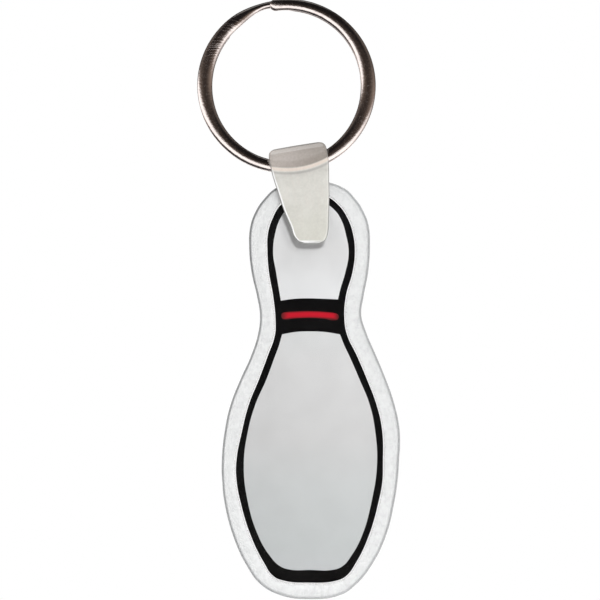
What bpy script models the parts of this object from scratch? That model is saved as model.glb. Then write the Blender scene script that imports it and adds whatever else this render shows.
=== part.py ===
"""Key tag in the shape of a bowling pin: a split ring, a snap strap and a flat
vinyl tag with its printed pin between two sheets.

The tag hangs from the inside top of the ring, which is the origin. +Z is up,
the printed front faces -Y and +X is to the right as the front is seen.
Lengths in the tables are millimetres; everything built is in metres.
"""

import math

import bmesh
import bpy
from mathutils import Matrix, Vector

MM = 0.001

# ---------------------------------------------------------------- split ring
RING_OUTER_D = 29.6  # sold as a 30 mm split ring
WIRE_RADIAL = 2.3  # width of the wire across the ring's face
WIRE_AXIAL = 1.1  # thickness of one coil
WIRE_CORNER = 0.42
COIL_GAP = 0.1
RING_RI = RING_OUTER_D / 2 - WIRE_RADIAL
RING_RM = RING_OUTER_D / 2 - WIRE_RADIAL / 2
RING_STEP = 6.0  # degrees between stations on the wire
FRONT_END = -12.0  # the front coil's end, clockwise from the top
CRIMP_START = 318.0  # where the wire steps to the back coil
CRIMP_END = 344.0
BACK_END = 674.0
CRIMP_JOG = 0.3  # how far the crimp pushes the wire outwards

# --------------------------------------------------------------------- strap
STRAP_LEAN = 9.4  # degrees the strap's top leans to the left
LOOP_DIST = 13.4  # ring centre to the axis of the strap's loop
BORE_R = 2.25
LOOP_R = 3.1
LEG_IN = 1.1  # inner face of each leg from the middle plane
LEG_OUT = 2.0
STUD_DIST = 9.6  # loop axis to stud axis
STUD_R = 1.5
STUD_HEAD_R = 2.0
STUD_HEAD_T = 0.8
BACK_HOLE_R = 1.6

# Half widths of the strap by distance below the loop's axis.
STRAP_PLAN = (
    (-1.0, 4.85),
    (1.2, 4.75),
    (3.6, 4.4),
    (6.6, 3.95),
    (9.4, 3.35),
    (11.6, 2.8),
    (12.5, 2.4),
    (13.0, 1.9),
    (13.25, 1.2),
)
LEG_LEVELS = (4.6, 5.6, 6.6, 8.0, 9.4, 10.5, 11.6, 12.1, 12.5, 12.8, 13.0, 13.15, 13.25)
STRAP_TIP = 13.25
BACK_LEG_TIP = 12.8
TIP_SLOPE = 0.16  # the tips are cut level although the strap leans

# ----------------------------------------------------------------------- tag
TAG_T = 2.0  # two sheets welded together
WELD_GAP = 0.05  # each sheet from the middle plane
FILM_T = 0.3
POCKET_HALF = 0.22
POCKET_OUTSET = 0.1
FILM_INSET = 0.06
TAG_HOLE_R = 1.6
RIM_ROUND = 0.22

# (height from the stud hole, left half width, right half width)
TAG_TOP = 6.8
TAG_BOTTOM = -63.2
TAG_STATIONS = (
    (5.7, 5.3, 5.6),
    (3.7, 7.55, 7.8),
    (1.6, 8.95, 9.15),
    (-0.8, 9.8, 10.0),
    (-4.2, 10.0, 10.2),
    (-8.5, 9.6, 9.9),
    (-12.5, 8.7, 9.15),
    (-15.6, 8.2, 8.75),
    (-18.5, 8.45, 9.55),
    (-22.5, 9.7, 11.25),
    (-26.5, 11.5, 12.9),
    (-30.6, 13.1, 14.3),
    (-34.8, 14.05, 15.15),
    (-40.6, 14.6, 15.05),
    (-46.6, 14.2, 14.35),
    (-52.7, 12.65, 12.85),
    (-57.7, 10.35, 10.35),
    (-60.6, 8.2, 8.0),
    (-62.4, 5.15, 5.5),
)

PIN_TOP = 4.9
PIN_BOTTOM = -60.48
PIN_STATIONS = (
    (4.25, 2.7, 2.9),
    (2.6, 4.9, 5.1),
    (0.6, 6.05, 6.45),
    (-1.9, 6.85, 7.35),
    (-5.2, 6.95, 7.7),
    (-8.5, 6.7, 7.3),
    (-12.5, 6.0, 6.2),
    (-16.5, 5.6, 5.95),
    (-19.0, 5.7, 6.4),
    (-22.5, 6.9, 8.05),
    (-26.5, 8.4, 9.75),
    (-30.6, 10.05, 11.3),
    (-34.8, 11.15, 12.25),
    (-40.6, 12.2, 12.4),
    (-43.6, 12.1, 12.3),
    (-46.6, 11.55, 11.75),
    (-52.7, 9.7, 10.0),
    (-57.2, 7.5, 7.85),
    (-59.4, 5.95, 6.2),
    (-60.15, 4.2, 4.6),
)

HEAD_TOP = 3.75
HEAD_STATIONS = (
    (3.1, 2.4, 2.6),
    (2.0, 3.75, 4.2),
    (0.4, 4.85, 5.35),
    (-2.0, 5.65, 6.15),
    (-5.2, 6.0, 6.65),
    (-8.5, 5.5, 6.1),
    (-11.2, 5.05, 5.3),
)
BAND_TOP = -12.87  # middle of the neck band's upper edge
BAND_TOP_SIDE = (-13.25, -13.05)
BAND_TOP_HALF = (4.7, 4.85)
BAND_BOTTOM = -18.4
BAND_BOTTOM_SIDE = -18.9
BAND_BOTTOM_HALF = (4.5, 5.2)

BELLY_BOTTOM = -58.3
BELLY_STATIONS = (
    (-20.7, 5.0, 5.9),
    (-22.6, 5.7, 6.8),
    (-26.5, 7.15, 8.5),
    (-30.6, 8.95, 10.15),
    (-34.8, 10.15, 11.05),
    (-40.6, 10.9, 11.4),
    (-46.6, 10.3, 10.55),
    (-52.7, 8.45, 8.85),
    (-55.9, 6.6, 7.15),
    (-57.7, 4.85, 5.65),
)

STRIPE_MID = -15.58
STRIPE_T = 1.15
STRIPE_DROP = (0.22, 0.38)  # how far each end sits below the middle
STRIPE_HALF = (4.65, 5.0)

# ------------------------------------------------------------------ placing
RING_CENTRE = Vector((0, 0, -RING_RI)) * MM
LEAN = math.radians(STRAP_LEAN)
STRAP_DOWN = Vector((math.sin(LEAN), 0, -math.cos(LEAN)))
LOOP_AXIS = RING_CENTRE + STRAP_DOWN * LOOP_DIST * MM
STUD = LOOP_AXIS + STRAP_DOWN * STUD_DIST * MM


def clear():
    for obj in list(bpy.data.objects):
        bpy.data.objects.remove(obj, do_unlink=True)


def collection(name):
    made = bpy.data.collections.new(name)
    bpy.context.scene.collection.children.link(made)
    return made


def material(name, colour, roughness, metallic=0.0, alpha=1.0):
    made = bpy.data.materials.new(name)
    made.use_nodes = True
    shader = made.node_tree.nodes["Principled BSDF"]
    shader.inputs["Base Color"].default_value = (*colour, 1)
    shader.inputs["Roughness"].default_value = roughness
    shader.inputs["Metallic"].default_value = metallic
    shader.inputs["Alpha"].default_value = alpha
    return made


def curve_object(name, dimensions, extrude=0.0):
    data = bpy.data.curves.new(name, "CURVE")
    data.dimensions = dimensions
    data.resolution_u = 4
    data.extrude = extrude
    if dimensions == "2D":
        data.fill_mode = "BOTH"
    obj = bpy.data.objects.new(name, data)
    bpy.context.scene.collection.objects.link(obj)
    return obj


def poly(obj, points, cyclic):
    spline = obj.data.splines.new("POLY")
    spline.points.add(len(points) - 1)
    for point, place in zip(spline.points, points):
        point.co = (*place, 1) if len(place) == 3 else (*place, 0, 1)
    spline.use_cyclic_u = cyclic
    return spline


def smooth(obj, points, corners=()):
    """A closed smooth spline through points; the ones named in corners are sharp."""
    spline = obj.data.splines.new("BEZIER")
    spline.bezier_points.add(len(points) - 1)
    for i, (point, place) in enumerate(zip(spline.bezier_points, points)):
        point.co = (*place, 0)
        kind = "VECTOR" if i in corners else "AUTO"
        point.handle_left_type = kind
        point.handle_right_type = kind
    spline.use_cyclic_u = True
    return spline


def to_mesh(obj, name, group, turn=None, weld=1e-6):
    """A curve's solid as a mesh object, welded, with its faces pointing out."""
    graph = bpy.context.evaluated_depsgraph_get()
    data = bpy.data.meshes.new_from_object(obj.evaluated_get(graph))
    data.name = name
    bm = bmesh.new()
    bm.from_mesh(data)
    if turn is not None:
        bmesh.ops.transform(bm, matrix=turn, verts=bm.verts)
    bmesh.ops.remove_doubles(bm, verts=bm.verts, dist=weld)
    bmesh.ops.recalc_face_normals(bm, faces=bm.faces)
    bm.to_mesh(data)
    bm.free()
    made = bpy.data.objects.new(name, data)
    made.matrix_world = obj.matrix_world
    group.objects.link(made)
    bpy.data.objects.remove(obj, do_unlink=True)
    return made


def as_cutter(obj):
    obj.hide_render = True
    obj.display_type = "WIRE"
    return obj


def boolean(obj, other, operation, solver="EXACT"):
    made = obj.modifiers.new(f"{operation.lower()}_{other.name}", "BOOLEAN")
    made.operation = operation
    made.solver = solver
    made.object = other


def finish(obj, surface, angle=35.0):
    obj.data.materials.clear()
    obj.data.materials.append(surface)
    obj.data.shade_smooth()
    obj.data.set_sharp_from_angle(angle=math.radians(angle))


FRONTWARD = Matrix.Rotation(math.radians(90), 4, "X")  # (x, y, z) to (x, -z, y)
SIDEWAYS = Matrix(((0, 0, 1, 0), (1, 0, 0, 0), (0, 1, 0, 0), (0, 0, 0, 1)))


def eased(value):
    value = min(1.0, max(0.0, value))
    return value * value * (3 - 2 * value)


# ---------------------------------------------------------------- split ring
def wire_section():
    """The wire's rounded oblong section, wide across the ring's face."""
    a, b, r = WIRE_RADIAL / 2, WIRE_AXIAL / 2, WIRE_CORNER
    points = []
    for cx, cy, start in ((a - r, b - r, 0), (r - a, b - r, 90), (r - a, r - b, 180), (a - r, r - b, 270)):
        for turn in (0, 45, 90):
            angle = math.radians(start + turn)
            points.append(((cx + r * math.cos(angle)) * MM, (cy + r * math.sin(angle)) * MM))
    return points


def split_ring(group, surface):
    section = curve_object("wire_section", "2D")
    section.data.fill_mode = "NONE"
    poly(section, wire_section(), True)
    path = curve_object("ring_path", "3D")
    path.data.twist_mode = "Z_UP"
    path.data.bevel_mode = "OBJECT"
    path.data.bevel_object = section
    path.data.use_fill_caps = True
    layer = (WIRE_AXIAL + COIL_GAP) / 2
    count = round((BACK_END - FRONT_END) / RING_STEP)
    points = []
    for i in range(count + 1):
        degrees = FRONT_END + (BACK_END - FRONT_END) * i / count
        step = eased((degrees - CRIMP_START) / (CRIMP_END - CRIMP_START))
        near = max(0.0, 1 - abs(degrees - CRIMP_END) / 26.0)
        radius = RING_RM + CRIMP_JOG * eased(near)
        angle = math.radians(degrees)
        points.append((radius * math.sin(angle) * MM, radius * math.cos(angle) * MM, layer * (1 - 2 * step) * MM))
    poly(path, points, False)
    made = to_mesh(path, "split_ring", group, FRONTWARD)
    bpy.data.objects.remove(section, do_unlink=True)
    made.location = RING_CENTRE
    finish(made, surface, 50)
    return made


# --------------------------------------------------------------------- strap
def strap_half_width(height):
    """Half width of the strap at a height above the loop's axis."""
    below = -height
    if below <= STRAP_PLAN[0][0]:
        over = max(0.0, height - LOOP_R + 1.0)
        return STRAP_PLAN[0][1] - 0.4 * over * over
    for (h0, w0), (h1, w1) in zip(STRAP_PLAN, STRAP_PLAN[1:]):
        if below <= h1:
            return w0 + (w1 - w0) * (below - h0) / (h1 - h0)
    return STRAP_PLAN[-1][1]


def leg(face, tip):
    """Points down one face of a leg, from its tip: (thickness, height)."""
    return [(face, -h) for h in LEG_LEVELS[::-1] if h <= tip]


def hairpin():
    """Side profile of the folded strap: (thickness, height) about the loop's axis."""
    outer, inner = [], []
    for i in range(19):
        angle = math.radians(-28 + 236 * i / 18)
        outer.append((LOOP_R * math.cos(angle), LOOP_R * math.sin(angle)))
        angle = math.radians(-36 + 252 * i / 18)
        inner.append((BORE_R * math.cos(angle), BORE_R * math.sin(angle)))
    outer = leg(LEG_OUT, BACK_LEG_TIP) + [(2.24, -3.3)] + outer + [(-2.24, -3.3)] + leg(-LEG_OUT, STRAP_TIP)[::-1]
    inner = leg(LEG_IN, BACK_LEG_TIP) + [(1.16, -2.2)] + inner + [(-1.16, -2.2)] + leg(-LEG_IN, STRAP_TIP)[::-1]
    return outer + inner[::-1]


def strap(group, cutters, surface):
    side = curve_object("hairpin", "2D", MM)
    poly(side, [(x * MM, z * MM) for x, z in hairpin()], True)
    body = to_mesh(side, "strap", group, SIDEWAYS)
    for vertex in body.data.vertices:
        height = vertex.co.z / MM
        vertex.co.x *= strap_half_width(height)
        vertex.co.z -= TIP_SLOPE * vertex.co.x * eased((-height - 7.0) / 5.5)

    # Hole in the back leg, and the stud that snaps into it.
    bm = bmesh.new()
    bmesh.ops.create_cone(bm, cap_ends=True, segments=32, radius1=BACK_HOLE_R * MM, radius2=BACK_HOLE_R * MM, depth=2.0 * MM)
    bmesh.ops.rotate(bm, matrix=Matrix.Rotation(math.radians(90), 3, "X"), verts=bm.verts)
    bmesh.ops.translate(bm, vec=(0, 1.8 * MM, -STUD_DIST * MM), verts=bm.verts)
    data = bpy.data.meshes.new("back_hole")
    bm.to_mesh(data)
    bm.free()
    hole = as_cutter(bpy.data.objects.new("back_hole", data))
    cutters.objects.link(hole)
    boolean(body, hole, "DIFFERENCE")

    head = LEG_OUT + 0.08
    profile = [
        (0.0, head + STUD_HEAD_T),
        (STUD_HEAD_R * 0.55, head + STUD_HEAD_T * 0.95),
        (STUD_HEAD_R * 0.88, head + STUD_HEAD_T * 0.6),
        (STUD_HEAD_R, head + STUD_HEAD_T * 0.2),
        (STUD_HEAD_R * 0.97, head),
        (STUD_R, head),
        (STUD_R, -LEG_IN - 0.4),
        (0.0, -LEG_IN - 0.4),
    ]
    data = bpy.data.meshes.new("stud")
    bm = bmesh.new()
    line = [bm.verts.new((r * MM, 0, h * MM)) for r, h in profile]
    for one, two in zip(line, line[1:]):
        bm.edges.new((one, two))
    bm.to_mesh(data)
    bm.free()
    stud = bpy.data.objects.new("stud", data)
    cutters.objects.link(stud)
    turned = stud.modifiers.new("turn", "SCREW")
    turned.axis = "Z"
    turned.steps = 32
    turned.render_steps = 32
    turned.use_merge_vertices = True
    turned.merge_threshold = 0.00001
    turned.use_normal_calculate = True
    stud.rotation_euler = (math.radians(-90), 0, 0)
    stud.location = (0, 0, -STUD_DIST * MM)
    bpy.context.view_layer.update()
    graph = bpy.context.evaluated_depsgraph_get()
    data = bpy.data.meshes.new_from_object(stud.evaluated_get(graph))
    data.transform(stud.matrix_world)
    bm = bmesh.new()
    bm.from_mesh(data)
    bmesh.ops.remove_doubles(bm, verts=bm.verts, dist=1e-6)
    bmesh.ops.recalc_face_normals(bm, faces=bm.faces)
    bm.to_mesh(data)
    bm.free()
    bpy.data.objects.remove(stud, do_unlink=True)
    stud = as_cutter(bpy.data.objects.new("stud", data))
    cutters.objects.link(stud)
    boolean(body, stud, "UNION")

    placing = bpy.data.objects.new("loop_axis", None)
    group.objects.link(placing)
    placing.location = LOOP_AXIS
    placing.rotation_euler = (0, -LEAN, 0)
    for obj in (body, hole, stud):
        obj.parent = placing
    finish(body, surface)
    return placing


# ----------------------------------------------------------------------- tag
def outline(stations, top, bottom, grow=0.0):
    """Clockwise points of an upright outline, from its top."""
    right = [(r + grow, z) for z, _, r in stations]
    left = [(-l - grow, z) for z, l, _ in stations]
    points = [(0.0, top + grow)] + right + [(0.0, bottom - grow)] + left[::-1]
    return [(x * MM, z * MM) for x, z in points]


def head_outline(shrink=0.0):
    s = shrink
    right = [(r - s, z) for z, _, r in HEAD_STATIONS]
    left = [(s - l, z) for z, l, _ in HEAD_STATIONS]
    low = [
        (BAND_TOP_HALF[1] - s, BAND_TOP_SIDE[1] + s),
        (BAND_TOP_HALF[1] / 2, BAND_TOP + s - 0.07),
        (0.0, BAND_TOP + s),
        (-BAND_TOP_HALF[0] / 2, BAND_TOP + s - 0.07),
        (s - BAND_TOP_HALF[0], BAND_TOP_SIDE[0] + s),
    ]
    points = [(0.0, HEAD_TOP - s)] + right + low + left[::-1]
    first = 1 + len(right)
    return [(x * MM, z * MM) for x, z in points], (first, first + 4)


def belly_outline(shrink=0.0):
    s = shrink
    right = [(r - s, z) for z, _, r in BELLY_STATIONS]
    left = [(s - l, z) for z, l, _ in BELLY_STATIONS]
    high = [
        (s - BAND_BOTTOM_HALF[0], BAND_BOTTOM_SIDE - s),
        (-BAND_BOTTOM_HALF[0] / 2, BAND_BOTTOM - s - 0.1),
        (0.0, BAND_BOTTOM - s),
        (BAND_BOTTOM_HALF[1] / 2, BAND_BOTTOM - s - 0.1),
        (BAND_BOTTOM_HALF[1] - s, BAND_BOTTOM_SIDE - s),
    ]
    low = [(4.3, BELLY_BOTTOM + s + 0.03), (0.0, BELLY_BOTTOM + s - 0.05), (-3.1, BELLY_BOTTOM + s)]
    points = high + right + low + left[::-1]
    return [(x * MM, z * MM) for x, z in points], (0, 4)


def stripe_outline(shrink=0.0):
    """A band with round ends, which sit a little lower than its middle."""
    half = STRIPE_T / 2 - shrink
    reach = (STRIPE_HALF[0] - STRIPE_T / 2, STRIPE_HALF[1] - STRIPE_T / 2)
    quarter = 2.4

    def end(x, drop, start):
        turns = [math.radians(start - turn) for turn in (0, 45, 90, 135, 180)]
        return [(x + half * math.cos(turn), STRIPE_MID - drop + half * math.sin(turn)) for turn in turns]

    left, right = STRIPE_MID - 0.3 * STRIPE_DROP[0], STRIPE_MID - 0.3 * STRIPE_DROP[1]
    points = [(0.0, STRIPE_MID + half), (quarter, right + half)]
    points += end(reach[1], STRIPE_DROP[1], 90)
    points += [(quarter, right - half), (0.0, STRIPE_MID - half), (-quarter, left - half)]
    points += end(-reach[0], STRIPE_DROP[0], 270)
    points.append((-quarter, left + half))
    return [(x * MM, z * MM) for x, z in points], ()


def punch(obj, cutters, name):
    bm = bmesh.new()
    bmesh.ops.create_cone(bm, cap_ends=True, segments=32, radius1=TAG_HOLE_R * MM, radius2=TAG_HOLE_R * MM, depth=4.0 * MM)
    bmesh.ops.rotate(bm, matrix=Matrix.Rotation(math.radians(90), 3, "X"), verts=bm.verts)
    data = bpy.data.meshes.new(name)
    bm.to_mesh(data)
    bm.free()
    cutter = as_cutter(bpy.data.objects.new(name, data))
    cutters.objects.link(cutter)
    boolean(obj, cutter, "DIFFERENCE")
    return cutter


def sheet(name, front, group, cutters, surface, hole, pocket):
    """One vinyl sheet. front is -1 for the face and 1 for the rear."""
    half = (TAG_T / 2 - WELD_GAP) / 2 * MM
    flat = curve_object(f"{name}_flat", "2D", half)
    smooth(flat, outline(TAG_STATIONS, TAG_TOP, TAG_BOTTOM))
    made = to_mesh(flat, name, group, FRONTWARD)
    middle = front * (WELD_GAP * MM + half)
    bm = bmesh.new()
    bm.from_mesh(made.data)
    bmesh.ops.translate(bm, vec=(0, middle, 0), verts=bm.verts)
    outside = front * TAG_T / 2 * MM
    rim = [
        edge
        for edge in bm.edges
        if all(abs(v.co.y - outside) < 1e-7 for v in edge.verts)
        and any(abs(face.normal.y) < 0.5 for face in edge.link_faces)
    ]
    bmesh.ops.bevel(bm, geom=rim, offset=RIM_ROUND * MM, segments=2, profile=0.5, affect="EDGES")
    bm.to_mesh(made.data)
    bm.free()
    boolean(made, pocket, "DIFFERENCE")
    boolean(made, hole, "DIFFERENCE")
    finish(made, surface)
    return made


def film(name, splines, group, surface):
    flat = curve_object(f"{name}_flat", "2D", FILM_T / 2 * MM)
    for points, corners in splines:
        smooth(flat, points, corners)
    made = to_mesh(flat, name, group, FRONTWARD)
    finish(made, surface)
    return made


def tag(group, cutters, surfaces):
    placing = bpy.data.objects.new("stud_axis", None)
    group.objects.link(placing)
    placing.location = STUD

    pocket = curve_object("pocket", "2D", POCKET_HALF * MM)
    smooth(pocket, outline(PIN_STATIONS, PIN_TOP, PIN_BOTTOM, POCKET_OUTSET))
    pocket = as_cutter(to_mesh(pocket, "pocket", cutters, FRONTWARD))

    head = film("head_panel", [head_outline(FILM_INSET)], group, surfaces["head"])
    hole = punch(head, cutters, "stud_hole")
    belly = film("belly_panel", [belly_outline(FILM_INSET)], group, surfaces["belly"])
    stripe = film("neck_stripe", [stripe_outline(FILM_INSET)], group, surfaces["stripe"])
    lines = film(
        "pin_outline",
        [(outline(PIN_STATIONS, PIN_TOP, PIN_BOTTOM), ()), head_outline(), belly_outline(), stripe_outline()],
        group,
        surfaces["line"],
    )
    face = sheet("face_sheet", -1, group, cutters, surfaces["vinyl"], hole, pocket)
    rear = sheet("rear_sheet", 1, group, cutters, surfaces["vinyl"], hole, pocket)
    for obj in (pocket, hole, head, belly, stripe, lines, face, rear):
        obj.parent = placing
    return placing


def main():
    clear()
    parts = collection("bowling_pin_key_tag")
    cutters = collection("cutters")
    nickel = material("nickel", (0.55, 0.52, 0.5), 0.18, 1.0)
    frosted = material("frosted_plastic", (0.86, 0.85, 0.81), 0.4, 0.0, 0.7)
    surfaces = {
        "vinyl": material("clear_vinyl", (0.88, 0.88, 0.88), 0.35, 0.0, 0.35),
        "head": material("head_print", (0.73, 0.74, 0.75), 0.5),
        "belly": material("belly_print", (0.62, 0.64, 0.64), 0.5),
        "line": material("black_print", (0.008, 0.008, 0.009), 0.45),
        "stripe": material("red_print", (0.62, 0.012, 0.03), 0.45),
    }
    split_ring(parts, nickel)
    strap(parts, cutters, frosted)
    tag(parts, cutters, surfaces)


main()
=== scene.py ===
"""Looks of the key tag: nickel split ring, frosted plastic strap, clear vinyl tag
with its printed pin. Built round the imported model, in the same frame.

Lengths in the tables are millimetres; meshes are in metres. Every piece's
vertices are in the row frame and its object sits at the origin.
"""

import math

import bmesh
import bpy
import numpy as np
from mathutils import Matrix, Vector

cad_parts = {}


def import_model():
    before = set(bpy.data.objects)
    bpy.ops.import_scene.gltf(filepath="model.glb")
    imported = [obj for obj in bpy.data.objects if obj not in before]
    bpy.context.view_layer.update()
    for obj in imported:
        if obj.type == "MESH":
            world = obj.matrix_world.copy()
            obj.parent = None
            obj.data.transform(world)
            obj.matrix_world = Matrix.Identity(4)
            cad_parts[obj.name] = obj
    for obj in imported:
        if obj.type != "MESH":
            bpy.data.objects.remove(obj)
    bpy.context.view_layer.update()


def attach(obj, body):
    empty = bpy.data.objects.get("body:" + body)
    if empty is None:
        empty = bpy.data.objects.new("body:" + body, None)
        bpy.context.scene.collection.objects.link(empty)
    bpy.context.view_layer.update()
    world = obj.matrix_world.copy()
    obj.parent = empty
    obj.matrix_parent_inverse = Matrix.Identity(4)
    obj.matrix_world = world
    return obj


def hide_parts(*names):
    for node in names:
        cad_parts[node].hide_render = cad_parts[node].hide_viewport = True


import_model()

MM = 0.001

# ---------------------------------------------------------------- sizes
RING_RM = 13.64  # middle of the wire
RING_OVAL = 0.05
WIRE_A = 1.107  # half width of the wire across the ring's face
WIRE_A_OVAL = 0.132
WIRE_B = 0.55  # half thickness of one coil
COIL_Y = 0.6
FRONT_END, BACK_END = -12.0, 674.0  # degrees clockwise from the top, from the front
CRIMP_START, CRIMP_END, CRIMP_JOG = 318.0, 344.0, 0.36

STRAP_LEAN = 9.4
LOOP_DIST = 13.4
LOOP_RM = 2.68
TIP_SLOPE = 0.16
LEG_MID = 1.55
STUD_DIST = 9.6
STRAP_PLAN = (
    (-3.28, 3.95),
    (-3.1, 4.32),
    (-2.75, 4.64),
    (-2.0, 4.86),
    (-1.0, 4.9),
    (1.2, 4.75),
    (3.6, 4.4),
    (6.6, 3.95),
    (9.4, 3.35),
    (11.6, 2.8),
    (12.5, 2.4),
    (13.0, 1.9),
    (13.25, 1.2),
)
FRONT_TIP, BACK_TIP = 13.25, 12.8

TAG_TOP, TAG_BOTTOM = 6.8, -63.2
TAG_STATIONS = (
    (5.7, 5.3, 5.6),
    (3.7, 7.55, 7.8),
    (1.6, 8.95, 9.15),
    (-0.8, 9.8, 10.0),
    (-4.2, 10.0, 10.2),
    (-8.5, 9.6, 9.9),
    (-12.5, 8.7, 9.15),
    (-15.6, 8.2, 8.75),
    (-18.5, 8.45, 9.55),
    (-22.5, 9.7, 11.25),
    (-26.5, 11.5, 12.9),
    (-30.6, 13.1, 14.3),
    (-34.8, 14.05, 15.15),
    (-40.6, 14.6, 15.05),
    (-43.6, 14.5, 14.8),
    (-46.6, 14.2, 14.35),
    (-52.7, 12.65, 12.85),
    (-57.7, 10.35, 10.35),
    (-60.6, 8.2, 8.0),
    (-62.4, 5.15, 5.5),
)
PIN_TOP, PIN_BOTTOM = 4.9, -60.48
PIN_STATIONS = (
    (4.25, 2.7, 2.9),
    (2.6, 4.9, 5.1),
    (0.6, 6.05, 6.45),
    (-1.9, 6.85, 7.35),
    (-5.2, 6.95, 7.7),
    (-8.5, 6.7, 7.3),
    (-12.5, 6.0, 6.2),
    (-16.5, 5.6, 5.95),
    (-19.0, 5.7, 6.4),
    (-22.5, 6.9, 8.05),
    (-26.5, 8.4, 9.75),
    (-30.6, 10.05, 11.3),
    (-34.8, 11.15, 12.25),
    (-40.6, 12.2, 12.4),
    (-43.6, 12.1, 12.3),
    (-46.6, 11.55, 11.75),
    (-52.7, 9.7, 10.0),
    (-57.2, 7.5, 7.85),
    (-59.4, 5.95, 6.2),
    (-60.15, 4.2, 4.6),
)
HEAD_TOP = 3.75
HEAD_STATIONS = (
    (3.1, 2.4, 2.6),
    (2.0, 3.75, 4.2),
    (0.4, 4.85, 5.35),
    (-2.0, 5.65, 6.15),
    (-5.2, 6.0, 6.65),
    (-8.5, 5.5, 6.1),
    (-11.2, 5.05, 5.3),
)
BAND_TOP, BAND_TOP_SIDE, BAND_TOP_HALF = -12.87, (-13.25, -13.05), (4.7, 4.85)
BAND_BOTTOM, BAND_BOTTOM_SIDE, BAND_BOTTOM_HALF = -18.4, -18.9, (4.5, 5.2)
BELLY_BOTTOM = -58.3
BELLY_STATIONS = (
    (-20.7, 5.0, 5.9),
    (-22.6, 5.7, 6.8),
    (-26.5, 7.15, 8.5),
    (-30.6, 8.95, 10.15),
    (-34.8, 10.15, 11.05),
    (-40.6, 10.9, 11.4),
    (-46.6, 10.3, 10.55),
    (-52.7, 8.45, 8.85),
    (-55.9, 6.6, 7.15),
    (-57.7, 4.85, 5.65),
)
STRIPE_MID, STRIPE_T, STRIPE_DROP, STRIPE_HALF = -15.58, 1.15, (0.22, 0.38), (4.65, 5.0)
FILM_T = 0.3
TAG_HALF = 1.0
WELD = 0.012
POCKET = 0.22
HOLE_R = 1.6

LEAN = math.radians(STRAP_LEAN)
RING_CENTRE = Vector((0, 0, -12.5))
STRAP_DOWN = Vector((math.sin(LEAN), 0, -math.cos(LEAN)))
LOOP_AXIS = RING_CENTRE + STRAP_DOWN * LOOP_DIST
STUD = LOOP_AXIS + STRAP_DOWN * STUD_DIST
STRAP_PLACE = Matrix.Translation(LOOP_AXIS) @ Matrix.Rotation(-LEAN, 4, "Y")
TAG_PLACE = Matrix.Translation(STUD)


# ---------------------------------------------------------------- mesh helpers
def eased(value):
    value = min(1.0, max(0.0, value))
    return value * value * (3 - 2 * value)


def mesh_object(name, points, faces, place=Matrix.Identity(4)):
    """An object from points in millimetres, placed, with faces pointing out."""
    data = bpy.data.meshes.new(name)
    data.from_pydata([place @ Vector(p) * 1.0 for p in points], [], faces)
    data.transform(Matrix.Scale(MM, 4))
    bm = bmesh.new()
    bm.from_mesh(data)
    bmesh.ops.recalc_face_normals(bm, faces=bm.faces)
    bm.to_mesh(data)
    bm.free()
    obj = bpy.data.objects.new(name, data)
    bpy.context.scene.collection.objects.link(obj)
    return obj


def local_points(obj, place):
    """The object's vertices in millimetres, in the frame that place puts down."""
    co = np.empty(len(obj.data.vertices) * 3)
    obj.data.vertices.foreach_get("co", co)
    co = co.reshape(-1, 3) / MM
    back = np.array(place.inverted())
    return co @ back[:3, :3].T + back[:3, 3]


def vector_attribute(obj, name, values):
    made = obj.data.attributes.new(name, "FLOAT_VECTOR", "POINT")
    made.data.foreach_set("vector", np.asarray(values, np.float32).ravel())


def scalar_attribute(obj, name, values):
    made = obj.data.attributes.new(name, "FLOAT", "POINT")
    made.data.foreach_set("value", np.asarray(values, np.float32).ravel())


def finish_piece(obj, surface, body, replaced, angle=40.0):
    obj.data.materials.clear()
    obj.data.materials.append(surface)
    obj.data.shade_smooth()
    obj.data.set_sharp_from_angle(angle=math.radians(angle))
    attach(obj, body)
    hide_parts(replaced)
    return obj


def tube_faces(rings, count):
    """Quads between consecutive closed rings of count points, with a cap at each end."""
    faces = []
    for i in range(rings - 1):
        for j in range(count):
            a, b = i * count + j, i * count + (j + 1) % count
            faces.append((a, b, b + count, a + count))
    faces.append(tuple(range(count))[::-1])
    faces.append(tuple(range((rings - 1) * count, rings * count)))
    return faces


def apply_boolean(obj, other, operation):
    made = obj.modifiers.new(operation, "BOOLEAN")
    made.operation = operation
    made.solver = "EXACT"
    made.object = other
    graph = bpy.context.evaluated_depsgraph_get()
    data = bpy.data.meshes.new_from_object(obj.evaluated_get(graph))
    obj.modifiers.clear()
    old = obj.data
    obj.data = data
    bpy.data.meshes.remove(old)
    data.name = obj.name
    bpy.data.objects.remove(other, do_unlink=True)


def turned(name, profile, segments, place):
    """A solid turned about local Y from (radius, y) points, the first and last on the axis."""
    points = [(0.0, profile[0][1], 0.0)]
    body = profile[1:-1]
    for r, y in body:
        for i in range(segments):
            angle = 2 * math.pi * i / segments
            points.append((r * math.cos(angle), y, r * math.sin(angle)))
    points.append((0.0, profile[-1][1], 0.0))
    faces = []
    for i in range(segments):
        j = (i + 1) % segments
        faces.append((0, 1 + j, 1 + i))
        for k in range(len(body) - 1):
            a, b = 1 + k * segments, 1 + (k + 1) * segments
            faces.append((a + i, a + j, b + j, b + i))
        last = 1 + (len(body) - 1) * segments
        faces.append((last + i, last + j, len(points) - 1))
    return mesh_object(name, points, faces, place)


def hermite(table, at):
    """Smooth interpolation of a table of (x, y) pairs at the given places."""
    x = np.array([p[0] for p in table], float)
    y = np.array([p[1] for p in table], float)
    slope = np.gradient(y, x)
    at = np.clip(at, x[0], x[-1])
    i = np.clip(np.searchsorted(x, at, "right") - 1, 0, len(x) - 2)
    h = x[i + 1] - x[i]
    t = (at - x[i]) / h
    return (
        y[i] * (1 + 2 * t) * (1 - t) ** 2
        + slope[i] * h * t * (1 - t) ** 2
        + y[i + 1] * t * t * (3 - 2 * t)
        + slope[i + 1] * h * t * t * (t - 1)
    )


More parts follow.
